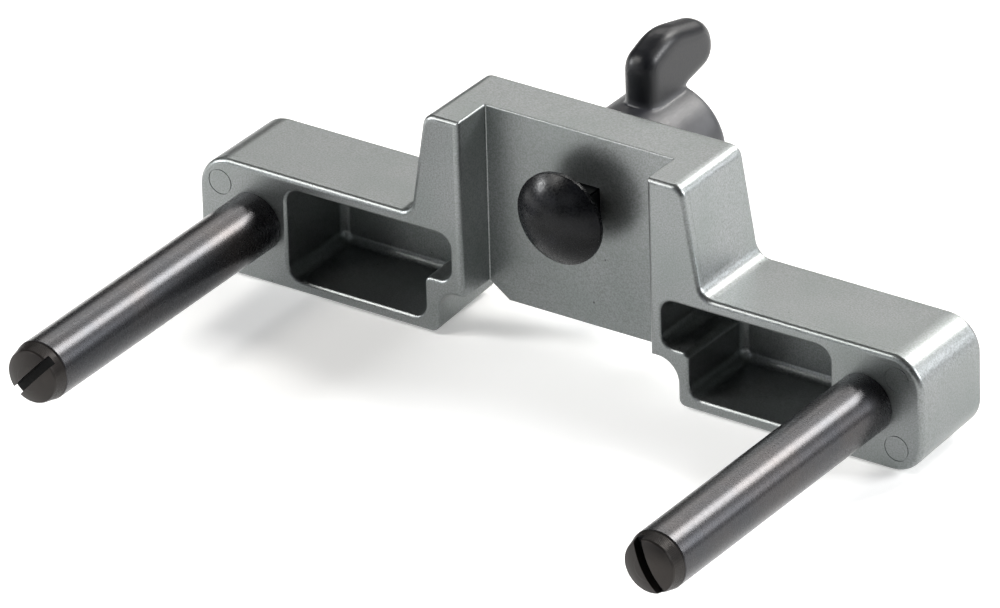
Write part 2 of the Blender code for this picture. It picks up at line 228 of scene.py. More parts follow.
@dataclass(frozen=True)
class SilverLacquer(Finish):
    """Silver lacquer over a zinc die casting: satin, with fine flakes and a few dark specks."""

    shade: str = "747776"
    light: str = "909394"
    drift: str = "6F7874"
    speck: str = "3C3E3D"
    flake: float = 0.26
    cloud: float = 11.0
    speck_spacing: float = 6.0
    peel: float = 0.5
    bump: Point = (0.03, 0.22)

    def pattern(self, on: Surface) -> None:
        """Flakes and slow drift of tone, with a soft orange peel."""
        flakes = on.noise(self.flake, 3.0)
        colour = on.blend(on.spread(flakes, (0.32, 0.68)), self.shade, self.light)
        drifted = on.spread(on.noise(self.cloud, 3.0), (0.4, 0.7), (0.0, 0.35))
        colour = on.blend(drifted, colour, self.drift)
        colour = on.blend(on.specks(self.speck_spacing, 0.03, 0.7), colour, self.speck)
        on.set("Base Color", colour)
        on.set("Roughness", on.spread(flakes, GRAINS, self.around(0.05, 0.07)))
        on.relief(on.noise(self.peel), *self.bump)


@dataclass(frozen=True)
class BlackOxide(Finish):
    """Black oxide on ground steel: near black with a faint brown bloom and fine rings."""

    shade: str = "393A3D"
    bloom_and_painted_sheen: str = "474240"
    ring: float = 0.22
    ring_depth: float = 0.006
    bloom_size: float = 9.0
    grain: float = 0.35
    stretch: float = 0.04

    def pattern(self, on: Surface) -> None:
        """Rings run round the rod, so their noise is stretched everywhere but along it."""
        share = on.spread(on.noise(self.bloom_size, 4.0), (0.4, 0.75), (0.0, 0.6))
        on.set("Base Color", on.blend(share, self.shade, self.bloom_and_painted_sheen))
        inputs = {"Vector": on.coords, "Scale": (self.stretch, 1.0, self.stretch)}
        stretched = on.output("Mapping", "Vector", inputs)
        rings = on.noise(self.ring, coords=stretched)
        mixed = on.math("ADD", rings, on.noise(self.grain))
        on.set("Roughness", on.spread(mixed, (0.7, 1.3), self.around(0.015, 0.02)))
        on.relief(mixed, self.ring_depth, 0.15)


@dataclass(frozen=True)
class ColdHeadedBlack(Finish):
    """Black phosphate on a cold-headed bolt: dark, satin and pitted, so highlights break up."""

    shade: str = "0C0D0F"
    wear_and_painted_sheen: str = "1B1C21"
    pit: float = 0.4
    patch: float = 4.0
    bump: Point = (0.05, 0.35)

    def pattern(self, on: Surface) -> None:
        """Pits in roughness and height, and paler patches."""
        pits = on.noise(self.pit, 3.0)
        share = on.spread(on.noise(self.patch, 3.0), (0.45, 0.7), (0.0, 0.6))
        on.set("Base Color", on.blend(share, self.shade, self.wear_and_painted_sheen))
        on.set("Roughness", on.spread(pits, GRAINS, self.around(0.06, 0.1)))
        on.relief(pits, *self.bump)


@dataclass(frozen=True)
class MouldedNylon(Finish):
    """Black nylon from a textured mould: satin, with a painted sheen on the hub and some dust.

    axis is where the hub's axis crosses x and z, and hub the radii between which its
    painted sheen fades, all in millimetres.
    """

    shade: str = "0F1013"
    light: str = "18191D"
    dust: str = "6A6B6E"
    # The paler colour painted on the hub as sheen, in place of the light that falls on it.
    bloom_and_painted_sheen: str = "3C3D42"
    grain: float = 0.3
    patch: float = 5.0
    dust_spacing: float = 3.2
    axis: Point = (0.0, 24.4)
    hub: Point = (8.6, 10.6)
    bump: Point = (0.03, 0.25)

    def pattern(self, on: Surface) -> None:
        """Mould grain all over, a painted sheen near the axis, and dust in a few places."""
        grains = on.noise(self.grain, 3.0)
        colour = on.blend(grains, self.shade, self.light)
        # Painted sheen: the hub is painted paler near its axis, all round and broken by random
        # patches, in place of the light on it.
        inputs = {"Vector": on.coords, "Location": (-self.axis[0] * MM, 0.0, -self.axis[1] * MM),
                  "Scale": (1.0, 0.0, 1.0)}
        centred = on.output("Mapping", "Vector", inputs)
        reach = on.output("VectorMath", "Value", {0: centred}, operation="LENGTH")
        inside = on.spread(reach, (self.hub[0] * MM, self.hub[1] * MM), (1.0, 0.0))
        patches = on.spread(on.noise(self.patch, 3.0), GRAINS, (0.5, 1.0))
        wear_and_painted_sheen = on.math("MULTIPLY", inside, patches)
        colour = on.blend(wear_and_painted_sheen, colour, self.bloom_and_painted_sheen)
        colour = on.blend(on.specks(self.dust_spacing, 0.035, 0.5), colour, self.dust)
        on.set("Base Color", colour)
        sheen = on.spread(grains, GRAINS, self.around(0.04, 0.08))
        on.set("Roughness", on.math("MULTIPLY_ADD", wear_and_painted_sheen, 0.1, sheen))
        level = on.spread(wear_and_painted_sheen, (0.0, 1.0), (self.gloss, self.gloss + 0.5))
        on.set("Specular IOR Level", level)
        on.relief(grains, *self.bump)


@dataclass(frozen=True)
class BareMetal(Finish):
    """Zinc plate, or turned brass in other shades: clean metal with a fine grain."""

    shade: str = "B9BBB8"
    light: str = "D6D7D2"
    cloud: float = 2.5
    grain: float = 0.25
    bump: Point = (0.02, 0.25)

    def pattern(self, on: Surface) -> None:
        """Cloudy tone and fine grain."""
        grain = on.noise(self.grain)
        on.set("Base Color", on.blend(on.noise(self.cloud, 3.0), self.shade, self.light))
        on.set("Roughness", on.spread(grain, GRAINS, self.around(0.06, 0.1)))
        on.relief(grain, *self.bump)


@dataclass(frozen=True)
class StudioFloor(Finish):
    """Matt pale paper that glows a little, so shadows on it stay faint."""

    shade: str = "F4F4F3"
    light: str = "FAFAF9"
    glow: float = 0.34
    cloud: float = 60.0

    def pattern(self, on: Surface) -> None:
        """A barely uneven white."""
        on.set("Base Color", on.blend(on.noise(self.cloud), self.shade, self.light))
        on.set("Emission Color", linear(self.light))
        on.set("Emission Strength", self.glow)


# Shapes


class Corner(NamedTuple):
    """One corner of an outline, and the draft of the edge that starts at it."""

    x: float
    z: float
    radius: float = 0.0
    draft: float = 0.0


@dataclass(frozen=True)
class Outline:
    """A closed outline with rounded corners, anticlockwise from the front, tapered by depth."""

    corners: tuple[Corner, ...]
    step: float = radians(6.0)
    smallest: float = 0.08

    def mirrored(self) -> "Outline":
        """The outline reflected in the middle of the length."""
        back = self.corners[::-1]
        drafts = [corner.draft for corner in back[1:] + back[:1]]
        return Outline(tuple(Corner(-c.x, c.z, c.radius, d) for c, d in zip(back, drafts)))

    def moved(self, depth: float, inset: float) -> list[tuple[Vector, Vector, Vector]]:
        """Each corner after its edges have moved inwards.

        Args:
            depth: How far behind the front face the ring is.
            inset: How far every edge moves inwards there, besides its draft.

        Returns:
            For each corner its place and the directions of the edges before and after it.
        """
        lines = []
        for corner, following in zip(self.corners, self.corners[1:] + self.corners[:1]):
            direction = Vector((following.x - corner.x, following.z - corner.z)).normalized()
            inward = Vector((-direction.y, direction.x))
            start = Vector((corner.x, corner.z)) + inward * (inset + corner.draft * depth)
            lines.append((start, direction))
        result = []
        for index, (other, after) in enumerate(lines):
            start, before = lines[index - 1]
            along = (other - start).cross(after) / before.cross(after)
            result.append((start + before * along, before, after))
        return result

    def ring(self, depth: float = 0.0, inset: float = 0.0) -> list[Vector]:
        """The outline's points at a depth.

        Args:
            depth: How far behind the front face the ring is.
            inset: How far every edge moves inwards there, besides its draft.

        Returns:
            The points in order.
        """
        points = []
        for corner, (tip, before, after) in zip(self.corners, self.moved(depth, inset)):
            if not corner.radius:
                points.append(tip)
                continue
            turn = atan2(before.cross(after), before.dot(after))
            bend = 1.0 if turn > 0 else -1.0
            radius = max(corner.radius - bend * (inset + corner.draft * depth), self.smallest)
            start = tip - before * radius * tan(abs(turn) / 2)
            centre = start + Vector((-before.y, before.x)) * radius * bend
            steps = max(3, ceil(abs(turn) / self.step))
            for index in range(steps + 1):
                spoke = start - centre
                spoke.rotate(Matrix.Rotation(turn * index / steps, 2))
                points.append(centre + spoke)
        return points


def quarter(steps: int) -> list[Point]:
    """The cosine and sine of evenly spaced angles from 0 to 90 degrees."""
    angles = [QUARTER * index / steps for index in range(steps + 1)]
    return [(cos(angle), sin(angle)) for angle in angles]


def grown(points: Sequence[Point], distance: float) -> list[Point]:
    """Moves a closed anticlockwise outline outwards.

    Args:
        points: The outline.
        distance: How far each edge moves.

    Returns:
        The outline's points after the move.
    """
    result = []
    count = len(points)
    for index in range(count):
        here = Vector(points[index])
        before = (here - Vector(points[index - 1])).normalized()
        after = (Vector(points[(index + 1) % count]) - here).normalized()
        first = Vector((before.y, -before.x))
        second = Vector((after.y, -after.x))
        mean = (first + second).normalized()
        spot = here + mean * distance / max(mean.dot(first), 0.3)
        result.append((spot.x, spot.y))
    return result


def outward(builder: BMesh) -> BMesh:
    """The same closed solid with every face pointing out of it."""
    bmesh.ops.recalc_face_normals(builder, faces=builder.faces[:])
    if builder.calc_volume(signed=True) < 0:
        bmesh.ops.reverse_faces(builder, faces=builder.faces[:])
    return builder


def bridge(builder: BMesh, first: Sequence, second: Sequence) -> None:
    """Joins two loops of vertices with a band of faces."""
    for index in range(len(first)):
        after = (index + 1) % len(first)
        builder.faces.new((first[index], second[index], second[after], first[after]))


def loft(rings: Sequence[Sequence[Vector]]) -> BMesh:
    """A closed solid through rings of 3-D points with the same count.

    Args:
        rings: The rings, from one end to the other.

    Returns:
        The solid, its faces outwards.
    """
    builder = bmesh.new()
    loops = [[builder.verts.new(point) for point in ring] for ring in rings]
    for first, second in zip(loops, loops[1:]):
        bridge(builder, first, second)
    builder.faces.new(loops[0])
    builder.faces.new(loops[-1][::-1])
    return outward(builder)


def turned(profile: Sequence[Point], sides: int = 96) -> BMesh:
    """A solid of revolution about Y.

    Args:
        profile: Points (y, radius) that start and end on the axis.
        sides: How many sides it has.

    Returns:
        The solid, its faces outwards.
    """
    builder = bmesh.new()
    ends = [builder.verts.new((0.0, profile[i][0], 0.0)) for i in (0, -1)]
    angles = [tau * side / sides for side in range(sides)]
    loops = [[builder.verts.new((radius * cos(a), y, radius * sin(a))) for a in angles]
             for y, radius in profile[1:-1]]
    for side in range(sides):
        after = (side + 1) % sides
        builder.faces.new((ends[0], loops[0][side], loops[0][after]))
        builder.faces.new((ends[1], loops[-1][after], loops[-1][side]))
        for first, second in zip(loops, loops[1:]):
            builder.faces.new((first[side], second[side], second[after], first[after]))
    return outward(builder)


def pin(radius: float, start: float, end: float, sides: int = 64) -> BMesh:
    """A plain cylinder on Y from start to end."""
    return turned([(start, 0.0), (start, radius), (end, radius), (end, 0.0)], sides)


def block(low: Sequence[float], high: Sequence[float]) -> BMesh:
    """A box between two corners, used only to cut or to be rounded."""
    builder = bmesh.new()
    bmesh.ops.create_cube(builder, size=1.0)
    for vertex in builder.verts:
        vertex.co = Vector(low[i] + (vertex.co[i] + 0.5) * (high[i] - low[i]) for i in range(3))
    return builder


def arc(centre: Point, radius: float, start: float, end: float, steps: int) -> list[Point]:
    """Points of an arc in a profile.

    Args:
        centre: The arc's centre (y, radius).
        radius: The arc's radius.
        start: Its first angle in degrees, from +y towards +radius.
        end: Its last angle in degrees.
        steps: How many chords it has.

    Returns:
        The points from start to end.
    """
    points = []
    for index in range(steps + 1):
        angle = radians(start + (end - start) * index / steps)
        points.append((centre[0] + radius * cos(angle), centre[1] + radius * sin(angle)))
    return points


def cap_arc(rim: float, height: float, steps: int, share: float = 1.0) -> list[Point]:
    """Points (y, radius) of a spherical cap, from its crown on the axis at y = 0.

    Args:
        rim: The cap's radius at its foot.
        height: How far the foot is from the crown.
        steps: How many chords it has.
        share: How much of the way to the foot the points go.

    Returns:
        The points from the crown outwards.
    """
    swell = (rim ** 2 + height ** 2) / (2 * height)
    spread = asin(rim / swell)
    angles = [spread * index / steps * share for index in range(steps + 1)]
    return [(swell * (1 - cos(angle)), swell * sin(angle)) for angle in angles]


def ring_tube(radius: float, half: float, depth: float, sides: int = 64) -> BMesh:
    """A ring of square section about Y, which cuts a round witness line.

    Args:
        radius: The ring's mean radius.
        half: Half the width of the line.
        depth: How deep it cuts below y = 0.
        sides: How many sides the ring has.

    Returns:
        The ring.
    """
    builder = bmesh.new()
    inner, outer = radius - half, radius + half
    section = [(-depth, inner), (-depth, outer), (depth, outer), (depth, inner)]
    loops = []
    for side in range(sides):
        angle = tau * side / sides
        loops.append([builder.verts.new((r * cos(angle), y, r * sin(angle)))
                      for y, r in section])
    for first, second in zip(loops, loops[1:] + loops[:1]):
        bridge(builder, first, second)
    return outward(builder)


# Objects


def linked(name: str, data: bpy.types.ID) -> Object:
    """Puts data into the scene as an object at the origin."""
    item = bpy.data.objects.new(name, data)
    bpy.context.scene.collection.objects.link(item)
    return item


def to_object(name: str, builder: BMesh) -> Object:
    """Turns a bmesh into an object at the origin."""
    mesh = bpy.data.meshes.new(name)
    builder.to_mesh(mesh)
    builder.free()
    return linked(name, mesh)


def modify(piece: Object, kind: str, **settings: object) -> None:
    """Adds a modifier with its settings."""
    modifier = piece.modifiers.new(kind, kind)
    for key, value in settings.items():
        setattr(modifier, key, value)


def settle(piece: Object) -> None:
    """Applies a piece's modifiers to its mesh and takes them off."""
    graph = bpy.context.evaluated_depsgraph_get()
    graph.update()
    mesh = bpy.data.meshes.new_from_object(piece.evaluated_get(graph), depsgraph=graph)
    piece.modifiers.clear()
    old = piece.data
    piece.data = mesh
    bpy.data.meshes.remove(old)


def heal(piece: Object) -> None:
    """Merges the nearly coincident vertices that Booleans leave, so the mesh stays closed."""
    builder = bmesh.new()
    builder.from_mesh(piece.data)
    bmesh.ops.remove_doubles(builder, verts=builder.verts[:], dist=HEAL_DISTANCE)
    bmesh.ops.dissolve_degenerate(builder, dist=HEAL_DISTANCE, edges=builder.edges[:])
    builder.to_mesh(piece.data)
    builder.free()


def carve(piece: Object, cut: Cut, tools: Sequence[BMesh]) -> None:
    """Cuts or adds solids with exact Booleans.

    Args:
        piece: The object to change.
        cut: What the solids do to the piece.
        tools: The solids.
    """
    helpers = []
    for builder in tools:
        helper = to_object("helper", builder)
        modify(piece, "BOOLEAN", solver="EXACT", operation=cut.value, object=helper)
        helpers.append(helper)
    settle(piece)
    heal(piece)
    for helper in helpers:
        mesh = helper.data
        bpy.data.objects.remove(helper)
        bpy.data.meshes.remove(mesh)


def shifted(builder: BMesh, move: Sequence[float] = (0.0, 0.0, 0.0), turn: float = 0.0) -> BMesh:
    """Turns a solid about Y and then moves it."""
    builder.transform(Matrix.Translation(Vector(move)) @ Matrix.Rotation(turn, 4, "Y"))
    return builder


def coat(piece: Object, *finishes: Material) -> None:
    """Gives a piece its materials in place of any that it has."""
    piece.data.materials.clear()
    for finish in finishes:
        piece.data.materials.append(finish)


def smooth(piece: Object, angle: float) -> None:
    """Shades a piece smooth but for edges sharper than an angle, with flats kept flat."""
    piece.data.shade_smooth()
    piece.data.set_sharp_from_angle(angle=radians(angle))
    modify(piece, "WEIGHTED_NORMAL", keep_sharp=True, weight=80)
    settle(piece)


def joined(piece: Object, extra: Mesh) -> None:
    """Adds the faces of a plain mesh to a piece and removes that mesh."""
    both = [piece, linked("extra", extra)]
    with bpy.context.temp_override(active_object=piece, object=piece, selected_objects=both,
                                   selected_editable_objects=both):
        bpy.ops.object.join()


def place(piece: Object, origin: Sequence[float]) -> None:
    """Turns a piece's mesh from millimetres about its datum into the row frame."""
    piece.data.transform(Matrix.Translation(Vector(origin)) @ Matrix.Scale(MM, 4))
    piece.data.update()


def declare(piece: Object, body: Body, node: str) -> None:
    """Gives a finished piece its body and node, and reports it.

    Args:
        piece: The piece, in the row frame.
        body: The body that it rides on.
        node: The node that it stands for.
    """
    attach(piece, body.value)
    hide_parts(node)
    logger.info("%s rides on %s: %d faces", piece.name, body.value, len(piece.data.polygons))


def axis_of(node: str) -> Point:
    """Where the middle of a node's box is in x and z."""
    low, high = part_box(node)
    return (low.x + high.x) / 2, (low.z + high.z) / 2


def complete(piece: Object, body: Body, node: str, sharp: float = 30.0,
             y: Optional[float] = None) -> None:
    """Args:
        piece: The piece, in millimetres about its datum.
        body: The body that it rides on.
        node: The node that it stands for.
        sharp: The angle in degrees above which its edges stay sharp.
        y: Where its datum is along the axis, if not at the low end of the node's box.
    """
    smooth(piece, sharp)
    x, z = axis_of(node)
    place(piece, (x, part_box(node)[0].y if y is None else y, z))
    declare(piece, body, node)


# Geometry Nodes


class NodeShape:
    """A Geometry Nodes tree with named sizes, which ends realised and with its material."""

    def __init__(self, name: str, *sizes: str) -> None:
        """Opens the tree.

        Args:
            name: The tree's name.
            *sizes: The names of its sizes.
        """
        self.tree = bpy.data.node_groups.new(name, "GeometryNodeTree")
        sockets = self.tree.interface
        sockets.new_socket("Geometry", in_out="INPUT", socket_type="NodeSocketGeometry")
        for key in sizes:
            sockets.new_socket(key, in_out="INPUT", socket_type="NodeSocketFloat")
        sockets.new_socket("Material", in_out="INPUT", socket_type="NodeSocketMaterial")
        sockets.new_socket("Geometry", in_out="OUTPUT", socket_type="NodeSocketGeometry")
        self.entry = self.tree.nodes.new("NodeGroupInput").outputs

    def node(self, kind: str, inputs: dict, **settings: object) -> Socket:
        """Adds a node to the tree and gives its first output."""
        return add_node(self.tree, kind, inputs, **settings).outputs[0]

    def sweep(self, curve: Socket, sides: int, radius: Socket) -> Socket:
        """A closed tube along a curve."""
        section = self.node("GeometryNodeCurvePrimitiveCircle",
                            {"Resolution": sides, "Radius": radius})
        return self.node("GeometryNodeCurveToMesh",
                         {"Curve": curve, "Profile Curve": section, "Fill Caps": True})

    def along_y(self, geometry: Socket, start: Socket) -> Socket:
        """Turns geometry from Z onto Y and moves it to start."""
        move = self.node("ShaderNodeCombineXYZ", {"Y": start})
        return self.node("GeometryNodeTransform", {"Geometry": geometry, "Translation": move,
                                                   "Rotation": (-QUARTER, 0.0, 0.0)})

    def close(self, geometry: Socket) -> "NodeShape":
        """Ends the tree with real geometry in its material."""
        real = self.node("GeometryNodeRealizeInstances", {"Geometry": geometry})
        dressed = self.node("GeometryNodeSetMaterial",
                            {"Geometry": real, "Material": self.entry["Material"]})
        add_node(self.tree, "NodeGroupOutput", {0: dressed})
        return self

    def run(self, base: BMesh, sizes: dict[str, float], material: Material) -> Mesh:
        """Runs the tree.

        Args:
            base: The geometry that goes in.
            sizes: Values for the named inputs.
            material: The finish of the result.

        Returns:
            A plain mesh, its faces outwards.
        """
        carrier = to_object("carrier", base)
        modifier = carrier.modifiers.new("shape", "NODES")
        modifier.node_group = self.tree
        values = {**sizes, "Material": material}
        for item in self.tree.interface.items_tree:
            if item.in_out == "INPUT" and item.name in values:
                modifier[item.identifier] = values[item.name]
        settle(carrier)
        mesh = carrier.data
        result = bmesh.new()
        result.from_mesh(mesh)
        outward(result).to_mesh(mesh)
        result.free()
        bpy.data.objects.remove(carrier)
        return mesh


def thread_shape() -> NodeShape:
    """A screw thread: one ridge that climbs round the Y axis."""
    shape = NodeShape("screw_thread", "Radius", "Pitch", "Length", "Ridge", "Start")
    entry = shape.entry
    turns = shape.node("ShaderNodeMath", {0: entry["Length"], 1: entry["Pitch"]},
                       operation="DIVIDE")
    helix = shape.node("GeometryNodeCurveSpiral",
                       {"Resolution": 40, "Rotations": turns, "Start Radius": entry["Radius"],
                        "End Radius": entry["Radius"], "Height": entry["Length"]})
    ridge = shape.sweep(helix, 4, entry["Ridge"])
    return shape.close(shape.along_y(ridge, entry["Start"]))


def bead_shape() -> NodeShape:
    """A fine bead along a closed line, as where the two halves of a die meet."""
    shape = NodeShape("parting_bead", "Radius")
    line = shape.node("GeometryNodeMeshToCurve", {"Mesh": shape.entry["Geometry"]})
    return shape.close(shape.sweep(line, 6, shape.entry["Radius"]))


def knurl_shape() -> NodeShape:
    """Straight knurling: narrow ridges side by side round the Y axis."""
    shape = NodeShape("straight_knurl", "Radius", "Count", "Length", "Ridge", "Middle")
    entry = shape.entry
    circle = shape.node("GeometryNodeCurvePrimitiveCircle",
                        {"Radius": entry["Radius"], "Resolution": 64})
    spots = shape.node("GeometryNodeCurveToPoints", {"Curve": circle, "Count": entry["Count"]},
                       mode="COUNT")
    ridge = shape.node("GeometryNodeMeshCylinder",
                       {"Vertices": 4, "Radius": entry["Ridge"], "Depth": entry["Length"]})
    ridges = shape.node("GeometryNodeInstanceOnPoints", {"Points": spots, "Instance": ridge})
    return shape.close(shape.along_y(ridges, entry["Middle"]))


# Sub-assemblies


@dataclass
class BracketCasting:
    """The die-cast bracket: two cored arms, and a yoke whose web takes the bolt.

    right_pins and left_pins give each ejector pin's distance from the arm's end and its
    height above the feet.
    """

    length: float = 127.6
    arm_height: float = 19.05
    depth: float = 16.5
    yoke_height: float = 36.4
    wall: float = 2.0
    channel: float = 33.1
    web_front: float = 7.35
    cheek_top: float = 6.15
    cheek_root: float = 9.0
    cheek_bottom: float = 7.2
    web_bottom: float = 4.47
    web_chamfer: float = 3.2
    foot_inner: float = 4.7
    front_round: float = 0.9
    back_round: float = 0.8
    root_round: float = 0.22
    top_draft: float = 0.010
    foot_draft: float = 0.042
    core_draft: float = 0.03
    pocket_depth: float = 14.0
    pocket_outer: float = 47.9975
    pocket_round: float = 2.3
    mouth_round: float = 0.55
    floor_round: float = 1.3
    lip_round: float = 0.28
    bore: float = 8.545
    bore_depth: float = 11.3
    bolt_hole: float = 6.95
    parting: float = 1.75
    bead_inset: float = 0.035
    bead_radius: float = 0.055
    crease_height: float = 7.3
    crease_fall: float = 0.35
    pin_radius: float = 2.0
    pin_line: Point = (0.07, 0.14)
    right_pins: tuple[Point, ...] = ((4.3, 15.2), (4.5, 3.9))
    left_pins: tuple[Point, ...] = ((3.9, 15.0), (4.5, 3.9))
    margin: float = 2.0

    def outline(self) -> Outline:
        """The bracket from the front: feet, arms and yoke."""
        inner, end = self.channel / 2, self.length / 2
        foot = inner + self.foot_inner
        side, top = self.foot_draft, self.top_draft
        right = (
            Corner(inner - self.web_chamfer, self.web_bottom),
            Corner(inner, self.cheek_bottom, 0.0, side),
            Corner(foot, self.cheek_bottom, 3.5, side),
            Corner(foot, 0.0, 1.3, side),
            Corner(end, 0.0, 5.5, top),
            Corner(end, self.arm_height, 5.5, top),
            Corner(inner + self.cheek_root, self.arm_height, 2.5, top),
            Corner(inner + self.cheek_top, self.yoke_height, 2.2, top),
        )
        left = list(Outline(right).mirrored().corners)
        left[-1] = left[-1]._replace(draft=0.0)
        return Outline(right + tuple(left))

    def pocket(self) -> Outline:
        """The mouth of the right arm's pocket."""
        inner = self.channel / 2 + self.wall
        foot = inner + self.foot_inner
        ledge, top = self.cheek_bottom + self.wall, self.arm_height - self.wall
        outer, soft = self.pocket_outer, self.pocket_round
        spots = ((foot, self.wall, soft), (outer, self.wall, soft), (outer, top, soft),
                 (inner, top, soft), (inner, ledge, soft), (foot, ledge, 1.0))
        return Outline(tuple(Corner(*spot, self.core_draft) for spot in spots))

    def ring(self, outline: Outline, y: float, inset: float = 0.0) -> list[Vector]:
        """An outline's ring as 3-D points at a depth."""
        return [Vector((p.x, y, p.y)) for p in outline.ring(y, inset)]

    def body(self) -> BMesh:
        """The drafted block with rounded front and back edges."""
        outline, front, back = self.outline(), self.front_round, self.back_round
        rings = [self.ring(outline, front * (1 - c), front * (1 - s)) for c, s in quarter(8)]
        rings += [self.ring(outline, self.depth - back * (1 - s), back * (1 - c))
                  for c, s in quarter(6)]
        return loft(rings)

    def pocket_core(self, outline: Outline) -> BMesh:
        """A pocket's core, whose mouth flares to round the pocket's front edge."""
        flare, soft = self.mouth_round, self.floor_round
        start = self.pocket_depth - soft
        rings = [[Vector((p.x, -self.margin, p.y)) for p in outline.ring(0.0, -flare)]]
        rings += [self.ring(outline, flare * (1 - c), -flare * (1 - s)) for c, s in quarter(6)]
        rings += [self.ring(outline, start + soft * s, soft * (1 - c)) for c, s in quarter(6)]
        return loft(rings)

    def channel_core(self) -> BMesh:
        """The slot in front of the web, which rounds the cheeks' edges and the top edge."""
        half, flare, small, lip = (self.channel / 2, self.front_round, self.root_round,
                                   self.lip_round)
        side = [(half - small + small * s, self.web_front - small * (1 - c))
                for c, s in quarter(3)]
        side += [(half + flare * (1 - c), flare * (1 - s)) for c, s in quarter(8)]
        side.append((half + flare, -self.margin))
        plan = [(-x, y) for x, y in side] + side[::-1]
        top = self.yoke_height - self.top_draft * self.web_front
        levels = [(-self.margin, 0.0)]
        levels += [(top - lip * (1 - s), lip * (1 - c)) for c, s in quarter(5)]
        levels.append((top + self.margin, lip))
        return loft([[Vector((x, y, z)) for x, y in grown(plan, grow)] for z, grow in levels])

    def crease_core(self) -> BMesh:
        """The wedge that sets back the lower edge of the web's front."""
        half = self.channel / 2
        high, low = self.crease_height, self.web_bottom - self.margin
        fall = self.crease_fall * (high - low) / (high - self.web_bottom)
        front = self.web_front - self.margin
        section = [(front, high), (self.web_front, high), (self.web_front + fall, low),
                   (front, low)]
        return loft([[Vector((x, y, z)) for y, z in section] for x in (-half, half)])

    def pin_marks(self) -> list[BMesh]:
        """The round witness lines of the ejector pins on the arms' front faces."""
        end = self.length / 2
        spots = [(end - x, z) for x, z in self.right_pins]
        spots += [(x - end, z) for x, z in self.left_pins]
        return [shifted(ring_tube(self.pin_radius, *self.pin_line), (x, 0.0, z))
                for x, z in spots]

    def build(self, paint: Material, bolt_height: float, rods: Sequence[Point]) -> None:
        """Makes the bracket.

        Args:
            paint: Its finish.
            bolt_height: How high the bolt's axis is above the feet.
            rods: Each rod's axis (x, z).
        """
        piece = to_object("painted_bracket", self.body())
        tools = [self.channel_core(), self.pocket_core(self.pocket()),
                 self.pocket_core(self.pocket().mirrored()), self.crease_core(),
                 *self.pin_marks()]
        tools += [shifted(pin(self.bore / 2, -self.margin, self.bore_depth), (x, 0.0, z))
                  for x, z in rods]
        half = self.bolt_hole / 2
        tools.append(block((-half, 0.0, bolt_height - half),
                           (half, self.depth + self.margin, bolt_height + half)))
        carve(piece, Cut.REMOVE, tools)
        coat(piece, paint)
        joined(piece, self.parting_bead(paint))
        smooth(piece, 32.0)
        place(piece, (0.0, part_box("bracket_casting")[0].y, 0.0))
        declare(piece, Body.BRACKET, "bracket_casting")

    def parting_bead(self, paint: Material) -> Mesh:
        """The fine line where the die's halves met, which stops at the channel."""
        line = bmesh.new()
        inner = self.channel / 2 + self.front_round
        points = self.ring(self.outline(), self.parting, self.bead_inset)
        for first, second in zip(points, points[1:] + points[:1]):
            pairs = [(first, second)]
            if first.x * second.x < 0:
                edge = copysign(inner, second.x)
                pairs = [(first, Vector((-edge, first.y, first.z))),
                         (Vector((edge, second.y, second.z)), second)]
            for start, end in pairs:
                if min(abs(start.x), abs(end.x)) >= inner - 0.01:
                    line.edges.new((line.verts.new(start), line.verts.new(end)))
        bmesh.ops.remove_doubles(line, verts=line.verts[:], dist=0.001)
        return bead_shape().run(line, {"Radius": self.bead_radius}, paint)


